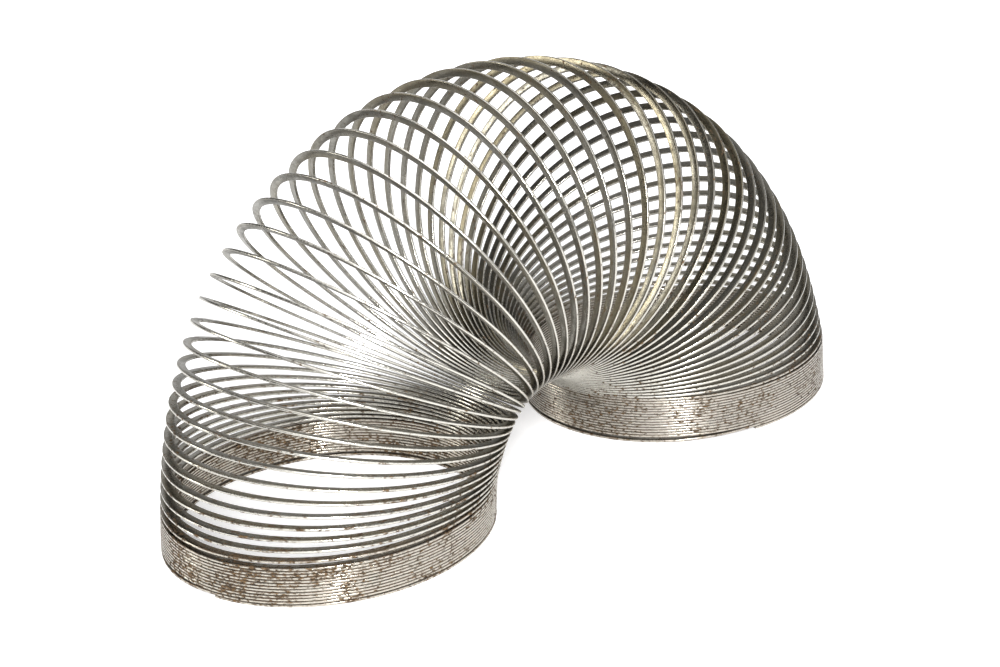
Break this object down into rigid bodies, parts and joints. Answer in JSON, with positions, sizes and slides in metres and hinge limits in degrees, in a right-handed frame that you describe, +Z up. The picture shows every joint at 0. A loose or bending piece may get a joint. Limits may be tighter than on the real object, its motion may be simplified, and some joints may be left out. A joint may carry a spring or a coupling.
{
  "type": "walking coil spring toy",
  "caption": "Flat steel strip wound into a wide, soft coil that stands as an arch on its two closed ends; its turns fan open and shut.",
  "frame": {"origin": "bottom centre of the box around the arch, on the table", "axes": "+Z up, +X from the near foot to the far foot, +Y across the arch"},
  "size_m": [0.1664, 0.069, 0.0854],
  "materials": {
    "steel": "bare rolled steel strip, satin grey faces and bright worn edges, with small brown rust specks gathered on the near foot"
  },
  "bodies": {
    "near_foot": {"near_end_turn": "steel", "near_foot_stack": "steel", "turn_01": "steel"},
    "turn_02": {"turn_02": "steel"},
    "turn_03": {"turn_03": "steel"},
    "turn_04": {"turn_04": "steel"},
    "turn_05": {"turn_05": "steel"},
    "turn_06": {"turn_06": "steel"},
    "turn_07": {"turn_07": "steel"},
    "turn_08": {"turn_08": "steel"},
    "turn_09": {"turn_09": "steel"},
    "turn_10": {"turn_10": "steel"},
    "turn_11": {"turn_11": "steel"},
    "turn_12": {"turn_12": "steel"},
    "turn_13": {"turn_13": "steel"},
    "turn_14": {"turn_14": "steel"},
    "turn_15": {"turn_15": "steel"},
    "turn_16": {"turn_16": "steel"},
    "turn_17": {"turn_17": "steel"},
    "turn_18": {"turn_18": "steel"},
    "turn_19": {"turn_19": "steel"},
    "turn_20": {"turn_20": "steel"},
    "turn_21": {"turn_21": "steel"},
    "turn_22": {"turn_22": "steel"},
    "turn_23": {"turn_23": "steel"},
    "turn_24": {"turn_24": "steel"},
    "turn_25": {"turn_25": "steel"},
    "turn_26": {"turn_26": "steel"},
    "turn_27": {"turn_27": "steel"},
    "turn_28": {"turn_28": "steel"},
    "turn_29": {"turn_29": "steel"},
    "turn_30": {"turn_30": "steel"},
    "turn_31": {"turn_31": "steel"},
    "turn_32": {"turn_32": "steel"},
    "turn_33": {"turn_33": "steel"},
    "turn_34": {"turn_34": "steel"},
    "turn_35": {"turn_35": "steel"},
    "turn_36": {"turn_36": "steel"},
    "turn_37": {"turn_37": "steel"},
    "turn_38": {"turn_38": "steel"},
    "turn_39": {"turn_39": "steel"},
    "turn_40": {"turn_40": "steel"},
    "turn_41": {"turn_41": "steel"},
    "turn_42": {"turn_42": "steel"},
    "turn_43": {"turn_43": "steel"},
    "turn_44": {"turn_44": "steel"},
    "turn_45": {"turn_45": "steel"},
    "turn_46": {"turn_46": "steel"},
    "turn_47": {"turn_47": "steel"},
    "far_foot": {"turn_48": "steel", "far_foot_stack": "steel", "far_end_turn": "steel"}
  },
  "joints": [
    {"name": "hinge_02", "type": "hinge", "parent": "near_foot", "child": "turn_02", "pos_m": [-0.01374, 0, 0.0086], "axis": [0, 1, 0], "range_deg": [-1.25, 0], "stiffness_Nm_per_rad": 0.031},
    {"name": "hinge_03", "type": "hinge", "parent": "turn_02", "child": "turn_03", "pos_m": [-0.01342, 0, 0.00923], "axis": [0, 1, 0], "range_deg": [-1.33, 0], "stiffness_Nm_per_rad": 0.031},
    {"name": "hinge_04", "type": "hinge", "parent": "turn_03", "child": "turn_04", "pos_m": [-0.01308, 0, 0.00984], "axis": [0, 1, 0], "range_deg": [-1.45, 0], "stiffness_Nm_per_rad": 0.031},
    {"name": "hinge_05", "type": "hinge", "parent": "turn_04", "child": "turn_05", "pos_m": [-0.01272, 0, 0.01046], "axis": [0, 1, 0], "range_deg": [-1.59, 0], "stiffness_Nm_per_rad": 0.031},
    {"name": "hinge_06", "type": "hinge", "parent": "turn_05", "child": "turn_06", "pos_m": [-0.01235, 0, 0.01106], "axis": [0, 1, 0], "range_deg": [-1.77, 0], "stiffness_Nm_per_rad": 0.031},
    {"name": "hinge_07", "type": "hinge", "parent": "turn_06", "child": "turn_07", "pos_m": [-0.01195, 0, 0.01166], "axis": [0, 1, 0], "range_deg": [-1.96, 0], "stiffness_Nm_per_rad": 0.031},
    {"name": "hinge_08", "type": "hinge", "parent": "turn_07", "child": "turn_08", "pos_m": [-0.01154, 0, 0.01224], "axis": [0, 1, 0], "range_deg": [-2.17, 0], "stiffness_Nm_per_rad": 0.031},
    {"name": "hinge_09", "type": "hinge", "parent": "turn_08", "child": "turn_09", "pos_m": [-0.01109, 0, 0.01281], "axis": [0, 1, 0], "range_deg": [-2.39, 0], "stiffness_Nm_per_rad": 0.031},
    {"name": "hinge_10", "type": "hinge", "parent": "turn_09", "child": "turn_10", "pos_m": [-0.01062, 0, 0.01336], "axis": [0, 1, 0], "range_deg": [-2.62, 0], "stiffness_Nm_per_rad": 0.031},
    {"name": "hinge_11", "type": "hinge", "parent": "turn_10", "child": "turn_11", "pos_m": [-0.01012, 0, 0.01389], "axis": [0, 1, 0], "range_deg": [-2.86, 0], "stiffness_Nm_per_rad": 0.031},
    {"name": "hinge_12", "type": "hinge", "parent": "turn_11", "child": "turn_12", "pos_m": [-0.00959, 0, 0.0144], "axis": [0, 1, 0], "range_deg": [-3.11, 0], "stiffness_Nm_per_rad": 0.031},
    {"name": "hinge_13", "type": "hinge", "parent": "turn_12", "child": "turn_13", "pos_m": [-0.00903, 0, 0.01487], "axis": [0, 1, 0], "range_deg": [-3.35, 0], "stiffness_Nm_per_rad": 0.031},
    {"name": "hinge_14", "type": "hinge", "parent": "turn_13", "child": "turn_14", "pos_m": [-0.00844, 0, 0.01532], "axis": [0, 1, 0], "range_deg": [-3.59, 0], "stiffness_Nm_per_rad": 0.031},
    {"name": "hinge_15", "type": "hinge", "parent": "turn_14", "child": "turn_15", "pos_m": [-0.00782, 0, 0.01572], "axis": [0, 1, 0], "range_deg": [-3.83, 0], "stiffness_Nm_per_rad": 0.031},
    {"name": "hinge_16", "type": "hinge", "parent": "turn_15", "child": "turn_16", "pos_m": [-0.00717, 0, 0.01609], "axis": [0, 1, 0], "range_deg": [-4.06, 0], "stiffness_Nm_per_rad": 0.031},
    {"name": "hinge_17", "type": "hinge", "parent": "turn_16", "child": "turn_17", "pos_m": [-0.00649, 0, 0.0164], "axis": [0, 1, 0], "range_deg": [-4.27, 0], "stiffness_Nm_per_rad": 0.031},
    {"name": "hinge_18", "type": "hinge", "parent": "turn_17", "child": "turn_18", "pos_m": [-0.00579, 0, 0.01666], "axis": [0, 1, 0], "range_deg": [-4.48, 0], "stiffness_Nm_per_rad": 0.031},
    {"name": "hinge_19", "type": "hinge", "parent": "turn_18", "child": "turn_19", "pos_m": [-0.00506, 0, 0.01687], "axis": [0, 1, 0], "range_deg": [-4.67, 0], "stiffness_Nm_per_rad": 0.031},
    {"name": "hinge_20", "type": "hinge", "parent": "turn_19", "child": "turn_20", "pos_m": [-0.00432, 0, 0.01701], "axis": [0, 1, 0], "range_deg": [-4.83, 0], "stiffness_Nm_per_rad": 0.031},
    {"name": "hinge_21", "type": "hinge", "parent": "turn_20", "child": "turn_21", "pos_m": [-0.00357, 0, 0.01711], "axis": [0, 1, 0], "range_deg": [-4.98, 0], "stiffness_Nm_per_rad": 0.031},
    {"name": "hinge_22", "type": "hinge", "parent": "turn_21", "child": "turn_22", "pos_m": [-0.00283, 0, 0.01717], "axis": [0, 1, 0], "range_deg": [-5.11, 0], "stiffness_Nm_per_rad": 0.031},
    {"name": "hinge_23", "type": "hinge", "parent": "turn_22", "child": "turn_23", "pos_m": [-0.00211, 0, 0.01721], "axis": [0, 1, 0], "range_deg": [-5.21, 0], "stiffness_Nm_per_rad": 0.031},
    {"name": "hinge_24", "type": "hinge", "parent": "turn_23", "child": "turn_24", "pos_m": [-0.00139, 0, 0.01724], "axis": [0, 1, 0], "range_deg": [-5.29, 0], "stiffness_Nm_per_rad": 0.031},
    {"name": "hinge_25", "type": "hinge", "parent": "turn_24", "child": "turn_25", "pos_m": [-0.00069, 0, 0.01728], "axis": [0, 1, 0], "range_deg": [-5.34, 0], "stiffness_Nm_per_rad": 0.031},
    {"name": "hinge_26", "type": "hinge", "parent": "turn_25", "child": "turn_26", "pos_m": [0.00002, 0, 0.01732], "axis": [0, 1, 0], "range_deg": [-5.37, 0], "stiffness_Nm_per_rad": 0.031},
    {"name": "hinge_27", "type": "hinge", "parent": "turn_26", "child": "turn_27", "pos_m": [0.00073, 0, 0.01737], "axis": [0, 1, 0], "range_deg": [-5.34, 0], "stiffness_Nm_per_rad": 0.031},
    {"name": "hinge_28", "type": "hinge", "parent": "turn_27", "child": "turn_28", "pos_m": [0.00145, 0, 0.01742], "axis": [0, 1, 0], "range_deg": [-5.29, 0], "stiffness_Nm_per_rad": 0.031},
    {"name": "hinge_29", "type": "hinge", "parent": "turn_28", "child": "turn_29", "pos_m": [0.00219, 0, 0.01747], "axis": [0, 1, 0], "range_deg": [-5.21, 0], "stiffness_Nm_per_rad": 0.031},
    {"name": "hinge_30", "type": "hinge", "parent": "turn_29", "child": "turn_30", "pos_m": [0.00296, 0, 0.01751], "axis": [0, 1, 0], "range_deg": [-5.1, 0], "stiffness_Nm_per_rad": 0.031},
    {"name": "hinge_31", "type": "hinge", "parent": "turn_30", "child": "turn_31", "pos_m": [0.00375, 0, 0.01752], "axis": [0, 1, 0], "range_deg": [-4.97, 0], "stiffness_Nm_per_rad": 0.031},
    {"name": "hinge_32", "type": "hinge", "parent": "turn_31", "child": "turn_32", "pos_m": [0.00455, 0, 0.01749], "axis": [0, 1, 0], "range_deg": [-4.83, 0], "stiffness_Nm_per_rad": 0.031},
    {"name": "hinge_33", "type": "hinge", "parent": "turn_32", "child": "turn_33", "pos_m": [0.00536, 0, 0.01741], "axis": [0, 1, 0], "range_deg": [-4.66, 0], "stiffness_Nm_per_rad": 0.031},
    {"name": "hinge_34", "type": "hinge", "parent": "turn_33", "child": "turn_34", "pos_m": [0.00616, 0, 0.01726], "axis": [0, 1, 0], "range_deg": [-4.47, 0], "stiffness_Nm_per_rad": 0.031},
    {"name": "hinge_35", "type": "hinge", "parent": "turn_34", "child": "turn_35", "pos_m": [0.00693, 0, 0.01704], "axis": [0, 1, 0], "range_deg": [-4.26, 0], "stiffness_Nm_per_rad": 0.031},
    {"name": "hinge_36", "type": "hinge", "parent": "turn_35", "child": "turn_36", "pos_m": [0.00769, 0, 0.01677], "axis": [0, 1, 0], "range_deg": [-4.04, 0], "stiffness_Nm_per_rad": 0.031},
    {"name": "hinge_37", "type": "hinge", "parent": "turn_36", "child": "turn_37", "pos_m": [0.00842, 0, 0.01644], "axis": [0, 1, 0], "range_deg": [-3.81, 0], "stiffness_Nm_per_rad": 0.031},
    {"name": "hinge_38", "type": "hinge", "parent": "turn_37", "child": "turn_38", "pos_m": [0.00913, 0, 0.01606], "axis": [0, 1, 0], "range_deg": [-3.57, 0], "stiffness_Nm_per_rad": 0.031},
    {"name": "hinge_39", "type": "hinge", "parent": "turn_38", "child": "turn_39", "pos_m": [0.0098, 0, 0.01564], "axis": [0, 1, 0], "range_deg": [-3.33, 0], "stiffness_Nm_per_rad": 0.031},
    {"name": "hinge_40", "type": "hinge", "parent": "turn_39", "child": "turn_40", "pos_m": [0.01045, 0, 0.01519], "axis": [0, 1, 0], "range_deg": [-3.08, 0], "stiffness_Nm_per_rad": 0.031},
    {"name": "hinge_41", "type": "hinge", "parent": "turn_40", "child": "turn_41", "pos_m": [0.01107, 0, 0.0147], "axis": [0, 1, 0], "range_deg": [-2.84, 0], "stiffness_Nm_per_rad": 0.031},
    {"name": "hinge_42", "type": "hinge", "parent": "turn_41", "child": "turn_42", "pos_m": [0.01165, 0, 0.01418], "axis": [0, 1, 0], "range_deg": [-2.6, 0], "stiffness_Nm_per_rad": 0.031},
    {"name": "hinge_43", "type": "hinge", "parent": "turn_42", "child": "turn_43", "pos_m": [0.01221, 0, 0.01363], "axis": [0, 1, 0], "range_deg": [-2.36, 0], "stiffness_Nm_per_rad": 0.031},
    {"name": "hinge_44", "type": "hinge", "parent": "turn_43", "child": "turn_44", "pos_m": [0.01275, 0, 0.01307], "axis": [0, 1, 0], "range_deg": [-2.14, 0], "stiffness_Nm_per_rad": 0.031},
    {"name": "hinge_45", "type": "hinge", "parent": "turn_44", "child": "turn_45", "pos_m": [0.01326, 0, 0.01248], "axis": [0, 1, 0], "range_deg": [-1.94, 0], "stiffness_Nm_per_rad": 0.031},
    {"name": "hinge_46", "type": "hinge", "parent": "turn_45", "child": "turn_46", "pos_m": [0.01374, 0, 0.01188], "axis": [0, 1, 0], "range_deg": [-1.76, 0], "stiffness_Nm_per_rad": 0.031},
    {"name": "hinge_47", "type": "hinge", "parent": "turn_46", "child": "turn_47", "pos_m": [0.01421, 0, 0.01127], "axis": [0, 1, 0], "range_deg": [-1.62, 0], "stiffness_Nm_per_rad": 0.031},
    {"name": "hinge_48", "type": "hinge", "parent": "turn_47", "child": "far_foot", "pos_m": [0.01466, 0, 0.01065], "axis": [0, 1, 0], "range_deg": [-1.51, 0], "stiffness_Nm_per_rad": 0.031}
  ],
  "couplings": [
    {"joint": "hinge_02", "follows": "hinge_17", "ratio": 0.2929},
    {"joint": "hinge_03", "follows": "hinge_17", "ratio": 0.3111},
    {"joint": "hinge_04", "follows": "hinge_17", "ratio": 0.3385},
    {"joint": "hinge_05", "follows": "hinge_17", "ratio": 0.3731},
    {"joint": "hinge_06", "follows": "hinge_17", "ratio": 0.4134},
    {"joint": "hinge_07", "follows": "hinge_17", "ratio": 0.4583},
    {"joint": "hinge_08", "follows": "hinge_17", "ratio": 0.5074},
    {"joint": "hinge_09", "follows": "hinge_17", "ratio": 0.5594},
    {"joint": "hinge_10", "follows": "hinge_17", "ratio": 0.6139},
    {"joint": "hinge_11", "follows": "hinge_17", "ratio": 0.67},
    {"joint": "hinge_12", "follows": "hinge_17", "ratio": 0.7269},
    {"joint": "hinge_13", "follows": "hinge_17", "ratio": 0.784},
    {"joint": "hinge_14", "follows": "hinge_17", "ratio": 0.8404},
    {"joint": "hinge_15", "follows": "hinge_17", "ratio": 0.8958},
    {"joint": "hinge_16", "follows": "hinge_17", "ratio": 0.9492},
    {"joint": "hinge_18", "follows": "hinge_26", "ratio": 0.8342},
    {"joint": "hinge_19", "follows": "hinge_26", "ratio": 0.869},
    {"joint": "hinge_20", "follows": "hinge_26", "ratio": 0.9007},
    {"joint": "hinge_21", "follows": "hinge_26", "ratio": 0.9284},
    {"joint": "hinge_22", "follows": "hinge_26", "ratio": 0.9521},
    {"joint": "hinge_23", "follows": "hinge_26", "ratio": 0.9713},
    {"joint": "hinge_24", "follows": "hinge_26", "ratio": 0.986},
    {"joint": "hinge_25", "follows": "hinge_26", "ratio": 0.9957},
    {"joint": "hinge_27", "follows": "hinge_26", "ratio": 0.9945},
    {"joint": "hinge_28", "follows": "hinge_26", "ratio": 0.9845},
    {"joint": "hinge_29", "follows": "hinge_26", "ratio": 0.9698},
    {"joint": "hinge_30", "follows": "hinge_26", "ratio": 0.9506},
    {"joint": "hinge_31", "follows": "hinge_26", "ratio": 0.9267},
    {"joint": "hinge_32", "follows": "hinge_26", "ratio": 0.899},
    {"joint": "hinge_33", "follows": "hinge_26", "ratio": 0.8673},
    {"joint": "hinge_35", "follows": "hinge_34", "ratio": 0.9541},
    {"joint": "hinge_36", "follows": "hinge_34", "ratio": 0.905},
    {"joint": "hinge_37", "follows": "hinge_34", "ratio": 0.8533},
    {"joint": "hinge_38", "follows": "hinge_34", "ratio": 0.7998},
    {"joint": "hinge_39", "follows": "hinge_34", "ratio": 0.745},
    {"joint": "hinge_40", "follows": "hinge_34", "ratio": 0.6897},
    {"joint": "hinge_41", "follows": "hinge_34", "ratio": 0.6348},
    {"joint": "hinge_42", "follows": "hinge_34", "ratio": 0.5809},
    {"joint": "hinge_43", "follows": "hinge_34", "ratio": 0.5289},
    {"joint": "hinge_44", "follows": "hinge_34", "ratio": 0.4799},
    {"joint": "hinge_45", "follows": "hinge_34", "ratio": 0.4349},
    {"joint": "hinge_46", "follows": "hinge_34", "ratio": 0.3951},
    {"joint": "hinge_47", "follows": "hinge_34", "ratio": 0.3619},
    {"joint": "hinge_48", "follows": "hinge_34", "ratio": 0.3387}
  ]
}
